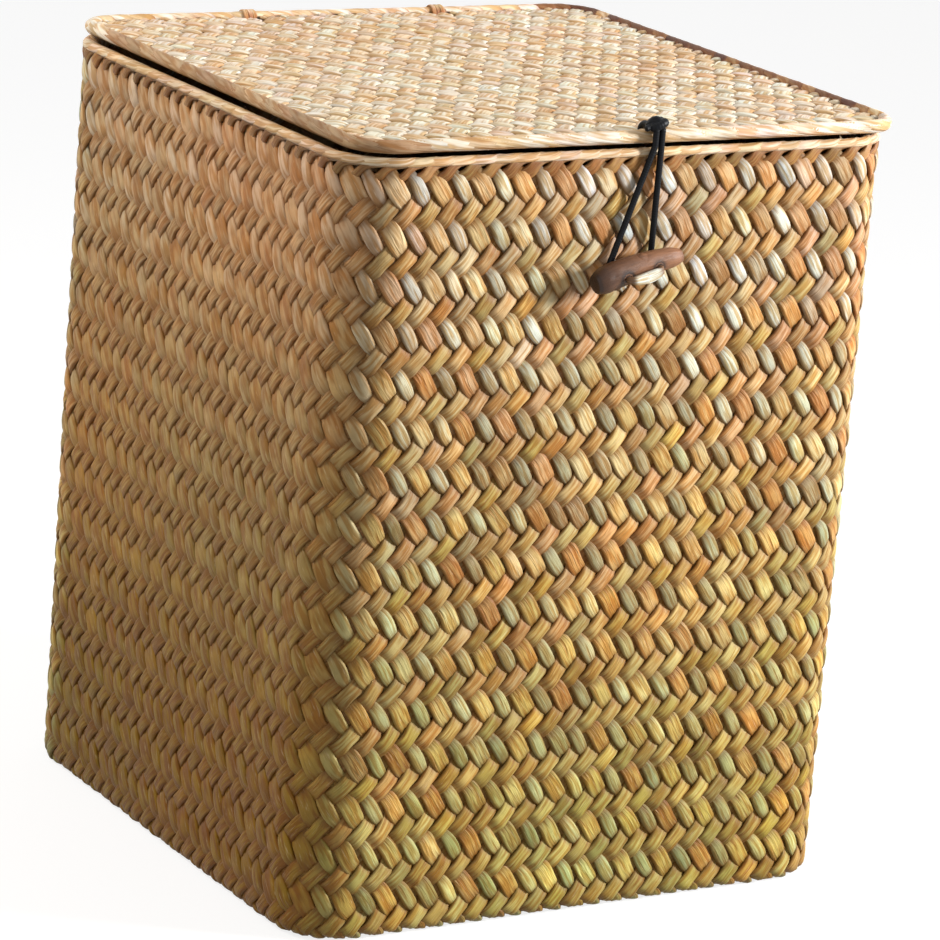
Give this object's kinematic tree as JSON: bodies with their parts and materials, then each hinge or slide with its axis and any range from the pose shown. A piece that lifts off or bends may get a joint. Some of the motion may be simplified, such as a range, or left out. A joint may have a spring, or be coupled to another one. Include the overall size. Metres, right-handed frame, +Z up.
{
  "type": "woven lidded box",
  "caption": "Tall plaited seagrass box with a flat hinged lid, rolled edges, and a cord loop that hooks over a twig toggle on the front.",
  "frame": {"origin": "centre of the flat underside of the woven base", "axes": "+X to the right along the front, the front with the toggle faces -Y, the lid's hinge is on the +Y side, +Z up"},
  "size_m": [0.3029, 0.3232, 0.3898],
  "materials": {
    "seagrass_wall": "plaited dry seagrass, satin, straw to olive with sage and orange strands",
    "seagrass_edge": "folded and bound seagrass, satin",
    "seagrass_lid": "plaited pale seagrass, satin",
    "iron_wire": "dark drawn iron wire",
    "twig_bark": "polished brown twig",
    "pale_strand": "smooth pale seagrass strand",
    "black_cord": "waxed black cord"
  },
  "bodies": {
    "box": {"woven_body": "seagrass_wall", "rim_fold": "seagrass_edge", "rim_wire": "iron_wire", "base_wire": "iron_wire", "corner_wire_front_left": "iron_wire", "corner_wire_front_right": "iron_wire", "corner_wire_back_left": "iron_wire", "corner_wire_back_right": "iron_wire", "hinge_tie_left": "seagrass_edge", "hinge_tie_right": "seagrass_edge", "toggle": "twig_bark", "toggle_stitch": "pale_strand"},
    "lid": {"lid_panel": "seagrass_lid", "lid_edge_roll": "seagrass_lid", "lid_wire": "iron_wire", "loop_knot": "black_cord"},
    "loop": {"closure_loop": "black_cord"}
  },
  "joints": [
    {"name": "lid_hinge", "type": "hinge", "parent": "box", "child": "lid", "pos_m": [0, 0.1459, 0.379], "axis": [-1, 0, 0], "range_deg": [0, 185]},
    {"name": "loop_swing", "type": "hinge", "parent": "lid", "child": "loop", "pos_m": [0.008, -0.1501, 0.3858], "axis": [-1, 0, 0], "range_deg": [0, 260], "deforming": ["closure_loop"]}
  ]
}
